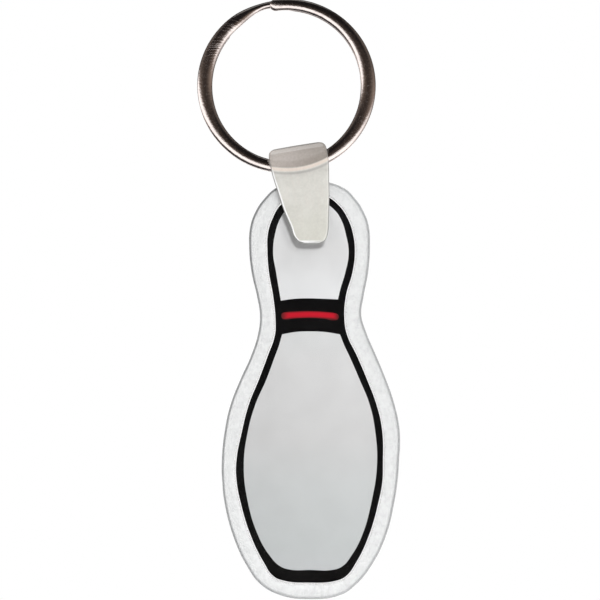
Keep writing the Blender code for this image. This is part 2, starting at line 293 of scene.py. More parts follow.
# ---------------------------------------------------------------- outlines
def smooth_spline(data, points, corners=()):
    spline = data.splines.new("BEZIER")
    spline.bezier_points.add(len(points) - 1)
    for i, (point, place) in enumerate(zip(spline.bezier_points, points)):
        point.co = (*place, 0)
        kind = "VECTOR" if i in corners else "AUTO"
        point.handle_left_type = kind
        point.handle_right_type = kind
    spline.use_cyclic_u = True


def sampled(points, corners=(), steps=12):
    """Points round a closed smooth spline, clockwise, in millimetres."""
    data = bpy.data.curves.new("sampler", "CURVE")
    data.dimensions = "2D"
    data.fill_mode = "NONE"
    data.resolution_u = steps
    smooth_spline(data, points, corners)
    obj = bpy.data.objects.new("sampler", data)
    bpy.context.scene.collection.objects.link(obj)
    graph = bpy.context.evaluated_depsgraph_get()
    mesh = obj.evaluated_get(graph).to_mesh()
    loop = np.array([(v.co.x, v.co.y) for v in mesh.vertices])
    bpy.data.objects.remove(obj, do_unlink=True)
    bpy.data.curves.remove(data)
    return loop


def inset(loop, distance):
    """The loop moved inwards by distance (outwards if negative)."""
    along = np.roll(loop, -1, 0) - np.roll(loop, 1, 0)
    along /= np.linalg.norm(along, axis=1)[:, None]
    return loop + distance * np.stack([along[:, 1], -along[:, 0]], 1)


def outline(stations, top, bottom):
    right = [(r, z) for z, _, r in stations]
    left = [(-l, z) for z, l, _ in stations]
    return [(0.0, top)] + right + [(0.0, bottom)] + left[::-1]


def head_outline(s=0.0):
    right = [(r - s, z) for z, _, r in HEAD_STATIONS]
    left = [(s - l, z) for z, l, _ in HEAD_STATIONS]
    low = [
        (BAND_TOP_HALF[1] - s, BAND_TOP_SIDE[1] + s),
        (BAND_TOP_HALF[1] / 2, BAND_TOP + s - 0.07),
        (0.0, BAND_TOP + s),
        (-BAND_TOP_HALF[0] / 2, BAND_TOP + s - 0.07),
        (s - BAND_TOP_HALF[0], BAND_TOP_SIDE[0] + s),
    ]
    first = 1 + len(right)
    return [(0.0, HEAD_TOP - s)] + right + low + left[::-1], (first, first + 4)


def belly_outline(s=0.0):
    right = [(r - s, z) for z, _, r in BELLY_STATIONS]
    left = [(s - l, z) for z, l, _ in BELLY_STATIONS]
    high = [
        (s - BAND_BOTTOM_HALF[0], BAND_BOTTOM_SIDE - s),
        (-BAND_BOTTOM_HALF[0] / 2, BAND_BOTTOM - s - 0.1),
        (0.0, BAND_BOTTOM - s),
        (BAND_BOTTOM_HALF[1] / 2, BAND_BOTTOM - s - 0.1),
        (BAND_BOTTOM_HALF[1] - s, BAND_BOTTOM_SIDE - s),
    ]
    low = [(4.3, BELLY_BOTTOM + s + 0.03), (0.0, BELLY_BOTTOM + s - 0.05), (-3.1, BELLY_BOTTOM + s)]
    return high + right + low + left[::-1], (0, 4)


def stripe_outline(s=0.0):
    """A band with round ends, which sit a little lower than its middle."""
    half = STRIPE_T / 2 - s
    reach = (STRIPE_HALF[0] - STRIPE_T / 2, STRIPE_HALF[1] - STRIPE_T / 2)
    quarter = 2.4

    def end(x, drop, start):
        turns = [math.radians(start - turn) for turn in (0, 45, 90, 135, 180)]
        return [(x + half * math.cos(turn), STRIPE_MID - drop + half * math.sin(turn)) for turn in turns]

    left, right = STRIPE_MID - 0.3 * STRIPE_DROP[0], STRIPE_MID - 0.3 * STRIPE_DROP[1]
    points = [(0.0, STRIPE_MID + half), (quarter, right + half)]
    points += end(reach[1], STRIPE_DROP[1], 90)
    points += [(quarter, right - half), (0.0, STRIPE_MID - half), (-quarter, left - half)]
    points += end(-reach[0], STRIPE_DROP[0], 270)
    points.append((-quarter, left + half))
    return points, ()


# ---------------------------------------------------------------- materials
class Look:
    """A node material built round one Principled shader."""

    def __init__(self, name):
        self.material = bpy.data.materials.new(name)
        self.material.use_nodes = True
        self.tree = self.material.node_tree
        self.shader = self.tree.nodes["Principled BSDF"]

    def node(self, kind, inputs=None, **settings):
        made = self.tree.nodes.new(kind)
        for key, value in settings.items():
            setattr(made, key, value)
        for key, value in (inputs or {}).items():
            self.feed(made.inputs[key], value)
        return made

    def feed(self, socket, value):
        if isinstance(value, bpy.types.NodeSocket):
            self.tree.links.new(value, socket)
        elif isinstance(value, (tuple, list)) and socket.type == "RGBA" and len(value) == 3:
            socket.default_value = (*value, 1)
        else:
            socket.default_value = value

    def set(self, **values):
        for key, value in values.items():
            self.feed(self.shader.inputs[key.replace("_", " ")], value)

    def mm(self):
        """Object coordinates in millimetres."""
        coord = self.node("ShaderNodeTexCoord")
        scaled = self.node("ShaderNodeVectorMath", operation="SCALE")
        self.feed(scaled.inputs[0], coord.outputs["Object"])
        scaled.inputs["Scale"].default_value = 1 / MM
        return scaled.outputs[0]

    def attribute(self, name):
        made = self.node("ShaderNodeAttribute", attribute_name=name)
        return made

    def stretched(self, vector, scale):
        made = self.node("ShaderNodeVectorMath", operation="MULTIPLY")
        self.feed(made.inputs[0], vector)
        made.inputs[1].default_value = scale
        return made.outputs[0]

    def noise(self, vector, scale, detail=2.0, roughness=0.5, distortion=0.0):
        made = self.node("ShaderNodeTexNoise")
        self.feed(made.inputs["Vector"], vector)
        made.inputs["Scale"].default_value = scale
        made.inputs["Detail"].default_value = detail
        made.inputs["Roughness"].default_value = roughness
        made.inputs["Distortion"].default_value = distortion
        return made.outputs["Fac"]

    def cells(self, vector, scale, feature="F1"):
        made = self.node("ShaderNodeTexVoronoi", feature=feature)
        self.feed(made.inputs["Vector"], vector)
        made.inputs["Scale"].default_value = scale
        return made.outputs["Distance"]

    def math(self, operation, a, b=None, clamp=False):
        made = self.node("ShaderNodeMath", operation=operation)
        made.use_clamp = clamp
        self.feed(made.inputs[0], a)
        if b is not None:
            self.feed(made.inputs[1], b)
        return made.outputs[0]

    def between(self, value, low, high, to_low=0.0, to_high=1.0, kind="SMOOTHSTEP"):
        made = self.node("ShaderNodeMapRange", interpolation_type=kind)
        self.feed(made.inputs["Value"], value)
        self.feed(made.inputs["From Min"], low)
        self.feed(made.inputs["From Max"], high)
        self.feed(made.inputs["To Min"], to_low)
        self.feed(made.inputs["To Max"], to_high)
        return made.outputs["Result"]

    def mix(self, factor, a, b):
        made = self.node("ShaderNodeMix", data_type="RGBA")
        self.feed(made.inputs[0], factor)
        self.feed(made.inputs[6], a)
        self.feed(made.inputs[7], b)
        return made.outputs[2]

    def blend(self, factor, a, b):
        made = self.node("ShaderNodeMix", data_type="FLOAT")
        self.feed(made.inputs[0], factor)
        self.feed(made.inputs[2], a)
        self.feed(made.inputs[3], b)
        return made.outputs[0]

    def ramp(self, value, stops):
        made = self.node("ShaderNodeValToRGB")
        self.feed(made.inputs[0], value)
        elements = made.color_ramp.elements
        while len(elements) < len(stops):
            elements.new(1.0)
        for element, (place, colour) in zip(elements, stops):
            element.position = place
            element.color = (*colour, 1)
        return made.outputs["Color"]

    def split(self, vector):
        made = self.node("ShaderNodeSeparateXYZ")
        self.feed(made.inputs[0], vector)
        return made.outputs

    def bump(self, height, distance_mm, strength=1.0, normal=None):
        made = self.node("ShaderNodeBump")
        made.inputs["Strength"].default_value = strength
        made.inputs["Distance"].default_value = distance_mm * MM
        self.feed(made.inputs["Height"], height)
        if normal is not None:
            self.feed(made.inputs["Normal"], normal)
        return made.outputs["Normal"]


def nickel_look():
    """Bright nickel plate: drawn lines along the wire, tiny dents, dulled patches."""
    look = Look("nickel")
    wire = look.attribute("wire_mm").outputs["Vector"]
    place = look.mm()
    drawn = look.noise(look.stretched(wire, (0.35, 9.0, 9.0)), 1.0, 3.0, 0.6)
    patches = look.noise(place, 0.55, 2.0, 0.5)
    dents = look.noise(place, 3.2, 2.0, 0.5)
    tone = look.mix(look.between(patches, 0.35, 0.7), (0.93, 0.885, 0.865), (0.84, 0.80, 0.79))
    dulled = look.between(look.noise(place, 1.7, 4.0, 0.65), 0.45, 0.75, 0.07, 0.2)
    rough = look.math("ADD", dulled, look.math("MULTIPLY", drawn, 0.06))
    along, inward, _ = look.split(wire)
    round_turn = look.math("MULTIPLY", along, 360 / (2 * math.pi * RING_RM))
    degrees = look.math("MODULO", look.math("ADD", round_turn, 360.0), 360.0)
    marked = look.math("MULTIPLY", look.between(degrees, 282.0, 298.0), look.between(degrees, 318.0, 334.0, 1.0, 0.0))
    slanted = look.node("ShaderNodeCombineXYZ")
    look.feed(slanted.inputs[0], look.math("ADD", look.math("MULTIPLY", along, 3.4), look.math("MULTIPLY", inward, 2.6)))
    chatter = look.noise(slanted.outputs[0], 1.0, 1.0, 0.4)
    lines = look.math("MULTIPLY", look.between(chatter, 0.5, 0.62), marked)
    rough = look.math("ADD", rough, look.math("MULTIPLY", lines, 0.26))
    # The cut end of the front coil is ground dull.
    ground = look.between(along, math.radians(RING_RM) * (FRONT_END + 7.0), math.radians(RING_RM) * (FRONT_END + 10.0), 1.0, 0.0)
    rough = look.math("ADD", rough, look.math("MULTIPLY", ground, 0.1))
    first = look.bump(drawn, 0.012, 0.5)
    second = look.bump(look.math("MULTIPLY", chatter, marked), 0.07, 0.4, first)
    look.set(
        Base_Color=tone,
        Metallic=1.0,
        Roughness=rough,
        Normal=look.bump(dents, 0.03, 0.5, second),
    )
    return look.material


def strap_look():
    """Frosted translucent plastic: cloudy, finely grained, clearer round the ring, with painted shade, reflection and
    highlights over the ring and along the edges.
    """
    look = Look("frosted_plastic")
    local = look.attribute("strap_mm").outputs["Vector"]
    across, _, height = look.split(local)
    down = look.math("SUBTRACT", height, LOOP_DIST)
    round_ring = look.math("POWER", look.math("ADD", look.math("MULTIPLY", across, across), look.math("MULTIPLY", down, down)), 0.5)
    cloud = look.noise(local, 0.45, 3.0, 0.5)
    fine = look.noise(local, 2.4, 3.0, 0.6)
    flow = look.noise(look.stretched(local, (1.6, 1.0, 0.25)), 1.0, 2.0, 0.5)
    body = look.mix(look.between(cloud, 0.3, 0.7), (0.71, 0.70, 0.655), (0.645, 0.635, 0.59))
    body = look.mix(look.between(flow, 0.45, 0.75, 0.0, 0.4), body, (0.685, 0.645, 0.60))
    body = look.mix(look.between(height, -4.0, -13.0, 0.0, 0.6), body, (0.63, 0.625, 0.555))
    # Painted over the ring inside the loop: a darker painted shade for the ring seen through, lighter on the left and
    # darker on the right, a pale painted reflection of the ring as an arc, and a thin painted shadow below it.
    inside = look.math("MULTIPLY", look.between(round_ring, 13.75, 14.05, 1.0, 0.0), look.between(height, -4.0, -3.0))
    body = look.mix(inside, body, look.mix(look.between(across, -4.0, 4.0), (0.61, 0.555, 0.512), (0.455, 0.41, 0.37)))
    # Painted reflection: the ring's bright band as a pale arc.
    painted_ring_reflection = look.math("MULTIPLY", look.between(round_ring, 13.8, 14.1), look.between(round_ring, 14.3, 14.6, 1.0, 0.0))
    body = look.mix(look.math("MULTIPLY", painted_ring_reflection, 0.75), body, (0.78, 0.66, 0.58))
    # Painted shadow: a thin dark arc just outside the ring's edge.
    painted_ring_shadow = look.math("MULTIPLY", look.between(round_ring, 14.45, 14.75), look.between(round_ring, 14.8, 15.15, 1.0, 0.0))
    body = look.mix(look.math("MULTIPLY", painted_ring_shadow, 0.6), body, (0.36, 0.345, 0.335))
    # Painted highlight: a pale band just inside the rounded edges of the legs, strongest on the left, which also glows
    # through the emission below.
    edge = look.attribute("strap_edge").outputs["Fac"]
    painted_highlight_band = look.math("MULTIPLY", look.between(edge, 0.05, 0.14), look.between(edge, 0.26, 0.42, 1.0, 0.0))
    side = look.between(across, -1.2, 3.2, 1.0, 0.15)
    low = look.between(height, -1.2, 0.4, 1.0, 0.0)
    painted_edge_highlight = look.math("MULTIPLY", painted_highlight_band, look.math("MULTIPLY", side, low))
    body = look.mix(look.math("MULTIPLY", painted_edge_highlight, 0.92), body, (0.98, 0.98, 0.975))
    # Painted shade: a thin dark band round the strap's side walls, next to the painted highlight.
    painted_edge_shade = look.math("MULTIPLY", look.between(edge, 0.0, 0.03), look.between(edge, 0.05, 0.17, 1.0, 0.0))
    body = look.mix(look.math("MULTIPLY", painted_edge_shade, 0.75), body, (0.20, 0.20, 0.20))
    # Painted shade: a dark band along the top of the loop round the ring.
    painted_loop_top_shade = look.between(height, 2.90, 3.16)
    body = look.mix(look.math("MULTIPLY", painted_loop_top_shade, 0.8), body, (0.17, 0.165, 0.16))
    clear = look.blend(inside, 0.93, 0.53)
    clear = look.math("ADD", clear, look.between(fine, 0.3, 0.7, -0.03, 0.03))
    clear = look.blend(look.math("MAXIMUM", painted_edge_highlight, painted_edge_shade), clear, 0.9)
    layer = look.node("ShaderNodeLayerWeight")
    layer.inputs["Blend"].default_value = 0.5
    glancing = look.math("POWER", layer.outputs["Facing"], 3.0)
    clear = look.math("ADD", clear, look.math("MULTIPLY", glancing, 0.7), True)
    grain = look.noise(local, 9.0, 2.0, 0.6)
    look.set(
        Base_Color=body,
        Roughness=look.between(fine, 0.3, 0.7, 0.3, 0.46),
        Subsurface_Weight=0.0,
        Emission_Color=(1.0, 1.0, 1.0),
        # The painted edge highlight glows a little.
        Emission_Strength=look.math("MULTIPLY", painted_edge_highlight, 0.2),
        Alpha=clear,
        IOR=1.5,
        Normal=look.bump(grain, 0.02, 0.35, look.bump(cloud, 0.12, 0.25)),
    )
    return look.material


def vinyl_look():
    """Clear soft vinyl: see-through over the print, whitish and pebbled at the welded
    margin, with a painted shade line just inside the cut edge, darkest on the left."""
    look = Look("clear_vinyl")
    place = look.mm()
    weld = look.attribute("weld").outputs["Fac"]
    edge = look.attribute("edge_mm").outputs["Fac"]
    outer = look.attribute("outer").outputs["Fac"]
    mottle = look.noise(place, 0.8, 3.0, 0.55)
    streak = look.noise(look.stretched(place, (1.5, 1.0, 0.45)), 1.0, 3.0, 0.55)
    pebble = look.cells(place, 2.1, "SMOOTH_F1")
    haze = look.mix(look.between(mottle, 0.35, 0.68), (0.885, 0.89, 0.89), (0.80, 0.81, 0.81))
    haze = look.mix(look.between(streak, 0.48, 0.66, 0.0, 0.6), haze, (0.735, 0.745, 0.75))
    wall = look.between(edge, 0.0, 0.03, 1.0, 0.0)
    # Painted shade: a dark line just inside the cut edge, darkest on the left of the head and about half as strong
    # lower down on the left.
    line = look.math("MULTIPLY", look.between(edge, 0.01, 0.07), look.between(edge, 0.25, 0.46, 1.0, 0.0))
    x, _, z = look.split(place)
    left = look.between(x, STUD.x - 9.0, STUD.x + 3.0, 1.0, 0.0)
    left = look.math("MULTIPLY", left, look.between(z, STUD.z - 14.0, STUD.z - 6.0, 0.45, 1.0))
    body = look.mix(look.math("MULTIPLY", line, 0.85), haze, look.mix(left, (0.38, 0.39, 0.395), (0.15, 0.155, 0.16)))
    body = look.mix(wall, body, (0.74, 0.755, 0.76))
    body = look.mix(weld, (1.0, 1.0, 1.0), body)
    layer = look.node("ShaderNodeLayerWeight")
    layer.inputs["Blend"].default_value = 0.5
    glancing = look.math("POWER", layer.outputs["Facing"], 3.0)
    film = look.math("ADD", look.math("MULTIPLY", glancing, 0.45), 0.004)
    film = look.math("MULTIPLY", film, outer)
    welded = look.between(mottle, 0.3, 0.7, 0.30, 0.42)
    welded = look.blend(look.math("MAXIMUM", line, wall), welded, look.blend(left, 0.56, 0.72))
    surface = look.bump(pebble, 0.06, 0.3, look.bump(mottle, 0.14, 0.3))
    smooth = look.bump(look.noise(place, 0.35, 1.0, 0.4), 0.25, 0.2)
    normal = look.node("ShaderNodeMix", data_type="VECTOR")
    look.feed(normal.inputs[0], weld)
    look.feed(normal.inputs[4], smooth)
    look.feed(normal.inputs[5], surface)
    look.set(
        Base_Color=body,
        Metallic=look.math("SUBTRACT", 1.0, weld, True),
        Roughness=look.blend(weld, 0.2, look.between(pebble, 0.1, 0.6, 0.24, 0.4)),
        IOR=1.53,
        Alpha=look.blend(weld, film, welded),
        Normal=normal.outputs[1],
    )
    return look.material


def print_look(name, stops, top, bottom, speckle=0.03, roughness=0.5, specular=0.3, lean=0.0):
    """Printed ink on the insert, with fine grain: a gentle change of tone down its height, and a slight one from left
    to right.
    """
    look = Look(name)
    place = look.mm()
    height = look.split(place)[2]
    down = look.between(height, top, bottom, kind="LINEAR")
    tone = look.ramp(down, stops)
    grain = look.noise(place, 5.5, 3.0, 0.7)
    wash = look.noise(place, 0.22, 2.0, 0.5)
    shade = look.math("ADD", look.between(grain, 0.25, 0.75, -speckle, speckle), look.between(wash, 0.3, 0.7, -speckle, speckle))
    # The tone is a little darker towards the left and lighter towards the right, by lean.
    shade = look.math("ADD", shade, look.between(look.split(place)[0], STUD.x - 11.0, STUD.x + 11.0, 1.0 - lean, 1.0 + lean / 2))
    scaled = look.node("ShaderNodeVectorMath", operation="SCALE")
    look.feed(scaled.inputs[0], tone)
    look.feed(scaled.inputs["Scale"], shade)
    look.set(
        Base_Color=scaled.outputs[0],
        Roughness=look.between(grain, 0.3, 0.7, roughness - 0.06, roughness + 0.06),
        Specular_IOR_Level=specular,
        Normal=look.bump(grain, 0.015, 0.4),
    )
    return look


# ---------------------------------------------------------------- split ring
def split_ring():
    count = 40
    section = []
    for i in range(count):
        angle = 2 * math.pi * i / count
        c, s = math.cos(angle), math.sin(angle)
        section.append((math.copysign(abs(c) ** (2 / 2.1), c), WIRE_B * math.copysign(abs(s) ** (2 / 2.1), s)))
    section = np.array(section)

    near_end = 8.0
    degrees = np.concatenate([
        np.arange(FRONT_END + 0.02, FRONT_END + near_end, 0.2),
        np.arange(FRONT_END + near_end, BACK_END - near_end, 1.5),
        np.arange(BACK_END - near_end, BACK_END, 0.2),
        [BACK_END - 0.02],
    ])
    points, marks = [], []
    per_degree = math.radians(RING_RM)

    def crimped(d):
        return eased(max(0.0, 1 - abs(d - CRIMP_END) / 24.0))

    def centre(d):
        step = eased((d - CRIMP_START) / (CRIMP_END - CRIMP_START))
        angle = math.radians(d)
        radius = RING_RM - RING_OVAL * math.cos(2 * angle) + CRIMP_JOG * crimped(d)
        return np.array((radius * math.sin(angle), -COIL_Y * (1 - 2 * step), radius * math.cos(angle)))

    for d in degrees:
        angle = math.radians(d)
        here = centre(d)
        along = centre(d + 0.05) - centre(d - 0.05)
        along /= np.linalg.norm(along)
        outward = np.array((math.sin(angle), 0.0, math.cos(angle)))
        outward -= along * (outward @ along)
        outward /= np.linalg.norm(outward)
        axial = np.cross(along, outward)
        distance = min(d - FRONT_END, BACK_END - d) * per_degree
        wide = math.sqrt(max(0.0, 1 - max(0.0, 1 - distance / 1.05) ** 2))
        thick = 0.5 * wide + 0.5 * math.sqrt(max(0.0, 1 - max(0.0, 1 - distance / 0.4) ** 2))
        wide *= WIRE_A - WIRE_A_OVAL * math.cos(2 * angle) - 0.42 * crimped(d)
        lean = math.radians(12) * (1 - eased((d - FRONT_END) / 9.0))
        for i, (u, v) in enumerate(section):
            across, up = u * wide, v * thick
            across, up = across * math.cos(lean) - up * math.sin(lean), across * math.sin(lean) + up * math.cos(lean)
            p = here + outward * across + axial * up
            points.append(tuple(p + np.array(RING_CENTRE)))
            turn = 2 * math.pi * i / count
            marks.append((d * per_degree, math.cos(turn), math.sin(turn)))
    obj = mesh_object("split_ring_wire", points, tube_faces(len(degrees), count))
    vector_attribute(obj, "wire_mm", marks)
    return finish_piece(obj, nickel_look(), "ring", "split_ring", 60)


# ---------------------------------------------------------------- strap
def strap_midline():
    """(y, z) points from the back leg's tip over the loop to the front leg's tip."""
    def leg_levels(tip):
        fine = [tip - e for e in (0.0, 0.03, 0.08, 0.15, 0.24, 0.36, 0.5, 0.7, 0.95, 1.25, 1.6)]
        rest = np.arange(tip - 2.1, 4.9, -0.5)
        return [*fine, *rest, 4.6]

    back = [(LEG_MID, -h) for h in leg_levels(BACK_TIP)]
    lift = []
    end = np.array((LOOP_RM * math.cos(math.radians(-32)), LOOP_RM * math.sin(math.radians(-32))))
    way = np.array((math.sin(math.radians(32)), math.cos(math.radians(32))))
    control = [np.array((LEG_MID, -4.6)), np.array((LEG_MID, -3.7)), end - 0.9 * way, end]
    for i in range(1, 12):
        t = i / 12
        lift.append(sum(w * p for w, p in zip(((1 - t) ** 3, 3 * t * (1 - t) ** 2, 3 * t * t * (1 - t), t ** 3), control)))
    lift = [tuple(p) for p in lift]
    arc = []
    for i in range(49):
        angle = math.radians(-32 + 244 * i / 48)
        arc.append((LOOP_RM * math.cos(angle), LOOP_RM * math.sin(angle) + 0.18 * max(0.0, math.sin(angle)) ** 2))
    front = [(-LEG_MID, -h) for h in leg_levels(FRONT_TIP)]
    return back + lift + arc + [(-y, z) for y, z in lift[::-1]] + front[::-1]


def strap():
    line = np.array(strap_midline())
    step = np.linalg.norm(np.diff(line, axis=0), axis=1)
    travel = np.concatenate([[0], np.cumsum(step)])
    along = np.gradient(line, axis=0)
    along /= np.linalg.norm(along, axis=1)[:, None]
    outward = np.stack([along[:, 1], -along[:, 0]], 1)  # away from the inside of the hairpin
    side = 9
    section = []  # (share of the flat half width, inset from the edge, share of the half thickness)
    for i in range(side):
        turn = math.radians(90 - 180 * i / (side - 1))
        section.append((1.0, 0.34 * (1 - math.cos(turn)), math.sin(turn)))
    flats = [0.82, 0.6, 0.36, 0.12, -0.12, -0.36, -0.6, -0.82]
    section += [(f, 0.34, -1.0) for f in flats]
    for i in range(side):
        turn = math.radians(-90 + 180 * i / (side - 1))
        section.append((-1.0, 0.34 * (1 - math.cos(turn)), math.sin(turn)))
    section += [(f, 0.34, 1.0) for f in flats[::-1]]

    plan = [(a, w) for a, w in STRAP_PLAN]
    points, edges = [], []
    for (y, z), (ny, nz), gone in zip(line, outward, travel):
        left = min(gone, travel[-1] - gone)
        tip = math.sqrt(max(0.0, 1 - (1 - min(1.0, left / 0.36)) ** 2))
        half = (0.45 - 0.05 * eased((z + 4.6) / 3.3)) * (0.12 + 0.88 * tip)
        for share, edge, lift in section:
            crown = 0.05 * (1 - share * share) if abs(lift) == 1.0 and lift > 0 else 0.0
            off = (half + crown * tip) * lift
            py, pz = y + ny * off, z + nz * off
            width = float(hermite(plan, -pz + (0.45 * eased((-pz - 9.0) / 3.8) if y > 0 else 0.0)))
            if share < 0:
                width += 0.26 * eased((-pz - 10.4) / 1.6)
            x = math.copysign(max(0.0, width - edge), share) if abs(share) == 1.0 else share * (width - edge)
            points.append((x, py, pz - TIP_SLOPE * x * eased((-pz - 7.0) / 5.5)))
            edges.append(min(edge if abs(share) == 1.0 else 0.34 + (1 - abs(share)) * width, max(left, 0.36 * (1 - tip))))
    body = mesh_object("snap_strap", points, tube_faces(len(line), len(section)), STRAP_PLACE)
    scalar_attribute(body, "strap_edge", edges)

    drill = turned(
        "drill",
        [(0, 0.7), (1.6, 0.7), (1.6, 1.98), (1.72, 2.06), (1.9, 2.4), (0, 2.4)],
        72,
        STRAP_PLACE @ Matrix.Translation((0, 0, -STUD_DIST)),
    )
    scalar_attribute(drill, "strap_edge", [2.0] * len(drill.data.vertices))
    apply_boolean(body, drill, "DIFFERENCE")
    profile = [(0.0, -1.5), (1.75, -1.5), (1.75, -1.1), (1.6, -1.0), (1.5, -0.85), (1.5, 2.0), (1.52, 2.06), (1.62, 2.09), (1.93, 2.1)]
    for i in range(1, 12):
        turn = math.radians(-20 + 110 * i / 11)
        profile.append((1.62 + 0.36 * math.cos(turn) if turn < 1.57 else 1.62, 2.42 + 0.36 * math.sin(turn)))
    profile += [(1.2, 2.84), (0.6, 2.875), (0.25, 2.8), (0.0, 2.78)]
    stud = turned("stud", profile, 72, STRAP_PLACE @ Matrix.Translation((0, 0, -STUD_DIST)))
    scalar_attribute(stud, "strap_edge", [2.0] * len(stud.data.vertices))
    apply_boolean(body, stud, "UNION")
    vector_attribute(body, "strap_mm", local_points(body, STRAP_PLACE))
    return finish_piece(body, strap_look(), "strap", "strap", 40)


# ---------------------------------------------------------------- vinyl sheets
def vinyl_sheet(name, front, replaced, surface):
    """One sheet of the tag. front is -1 for the face and 1 for the rear."""
    steps = 10
    edge = sampled(outline(TAG_STATIONS, TAG_TOP, TAG_BOTTOM), steps=steps)
    pin = sampled(outline(PIN_STATIONS, PIN_TOP, PIN_BOTTOM), steps=steps)
    rings = [  # (loop, distance from the middle plane, welded, distance from the cut edge, outer face)
        (inset(pin, -0.10), POCKET, 0.0, 2.0, 0.0),
        (inset(pin, -0.10), WELD, 0.5, 2.0, 0.0),
        (inset(pin, -0.45), WELD, 1.0, 2.0, 0.0),
        (inset(edge, 0.5), WELD, 1.0, 0.5, 0.0),
        (inset(edge, 0.04), WELD, 1.0, 0.0, 1.0),
        (edge, WELD + 0.05, 1.0, 0.0, 1.0),
    ]
    round_r = 0.36
    for i in range(9):
        turn = math.radians(90 * i / 8)
        away = round_r * (1 - math.cos(turn))
        rings.append((inset(edge, away), TAG_HALF - round_r + round_r * math.sin(turn), 1.0, away, 1.0))
    rim, shoulder = inset(edge, 0.62), inset(pin, -0.5)
    rings.append((inset(edge, 0.48), TAG_HALF - 0.004, 1.0, 0.48, 1.0))
    rings.append((rim, TAG_HALF - 0.02, 1.0, 0.62, 1.0))
    rings.append((inset(edge, 0.8), TAG_HALF - 0.045, 1.0, 0.8, 1.0))
    inner = inset(edge, 0.8)
    for share in (0.25, 0.5, 0.75):
        rings.append((inner + (shoulder - inner) * share, TAG_HALF - 0.05, 1.0, 1.5, 1.0))
    rings.append((shoulder, TAG_HALF - 0.05, 1.0, 2.0, 1.0))
    rings.append((inset(pin, -0.3), TAG_HALF - 0.045, 0.85, 2.0, 1.0))
    rings.append((inset(pin, -0.1), TAG_HALF - 0.03, 0.0, 2.0, 1.0))
    rings.append((inset(pin, 0.15), TAG_HALF - 0.01, 0.0, 2.0, 1.0))
    rings.append((inset(pin, 0.45), TAG_HALF, 0.0, 2.0, 1.0))

    n = len(edge)
    bm = bmesh.new()
    weld = bm.verts.layers.float.new("weld")
    away = bm.verts.layers.float.new("edge_mm")
    outer = bm.verts.layers.float.new("outer")

    def vertex(x, depth, z, w, e, o):
        made = bm.verts.new(TAG_PLACE @ Vector((x, front * depth, z)))
        made[weld], made[away], made[outer] = w, e, o
        return made

    grid = [[vertex(x, depth, z, w, e, o) for x, z in loop] for loop, depth, w, e, o in rings]
    for one, two in zip(grid, grid[1:]):
        for j in range(n):
            k = (j + 1) % n
            bm.faces.new((one[j], one[k], two[k], two[j]))
    circle = []
    for radius, depth in ((HOLE_R, POCKET), (HOLE_R, 0.88), (HOLE_R + 0.03, 0.95), (HOLE_R + 0.12, TAG_HALF)):
        row = []
        for i in range(72):
            turn = 2 * math.pi * i / 72
            row.append(vertex(radius * math.cos(turn), depth, radius * math.sin(turn), 0.25, 2.0, float(depth > 0.9)))
        circle.append(row)
    for one, two in zip(circle, circle[1:]):
        for j in range(72):
            k = (j + 1) % 72
            bm.faces.new((one[j], one[k], two[k], two[j]))
    for outer, hole in ((grid[0], circle[0]), (grid[-1], circle[-1])):
        edges = []
        for loop in (outer, hole):
            for j in range(len(loop)):
                one, two = loop[j], loop[(j + 1) % len(loop)]
                edges.append(bm.edges.get((one, two)) or bm.edges.new((one, two)))
        bmesh.ops.triangle_fill(bm, use_beauty=True, use_dissolve=False, edges=edges, normal=(0, 1, 0))
    bmesh.ops.recalc_face_normals(bm, faces=bm.faces)
    data = bpy.data.meshes.new(name)
    bm.to_mesh(data)
    bm.free()
    data.transform(Matrix.Scale(MM, 4))
    obj = bpy.data.objects.new(name, data)
    bpy.context.scene.collection.objects.link(obj)
    return finish_piece(obj, surface, "tag", replaced, 50)


# ---------------------------------------------------------------- printed insert
def printed(name, loops, surface, replaced, drilled=False):
    data = bpy.data.curves.new(name, "CURVE")
    data.dimensions = "2D"
    data.fill_mode = "BOTH"
    data.resolution_u = 14
    data.extrude = FILM_T / 2
    for points, corners in loops:
        smooth_spline(data, points, corners)
    flat = bpy.data.objects.new(name + "_flat", data)
    bpy.context.scene.collection.objects.link(flat)
    graph = bpy.context.evaluated_depsgraph_get()
    mesh = bpy.data.meshes.new_from_object(flat.evaluated_get(graph))
    mesh.name = name
    bm = bmesh.new()
    bm.from_mesh(mesh)
    bmesh.ops.remove_doubles(bm, verts=bm.verts, dist=0.001)
    bmesh.ops.transform(bm, matrix=Matrix.Rotation(math.radians(90), 4, "X"), verts=bm.verts)
    bmesh.ops.transform(bm, matrix=TAG_PLACE, verts=bm.verts)
    bmesh.ops.scale(bm, vec=(MM, MM, MM), verts=bm.verts)
    bmesh.ops.recalc_face_normals(bm, faces=bm.faces)
    bm.to_mesh(mesh)
    bm.free()
    bpy.data.objects.remove(flat, do_unlink=True)
    obj = bpy.data.objects.new(name, mesh)
    bpy.context.scene.collection.objects.link(obj)
    if drilled:
        drill = turned("drill", [(0, -1), (HOLE_R, -1), (HOLE_R, 1), (0, 1)], 72, TAG_PLACE)
        apply_boolean(obj, drill, "DIFFERENCE")
    return finish_piece(obj, surface, "tag", replaced, 30)


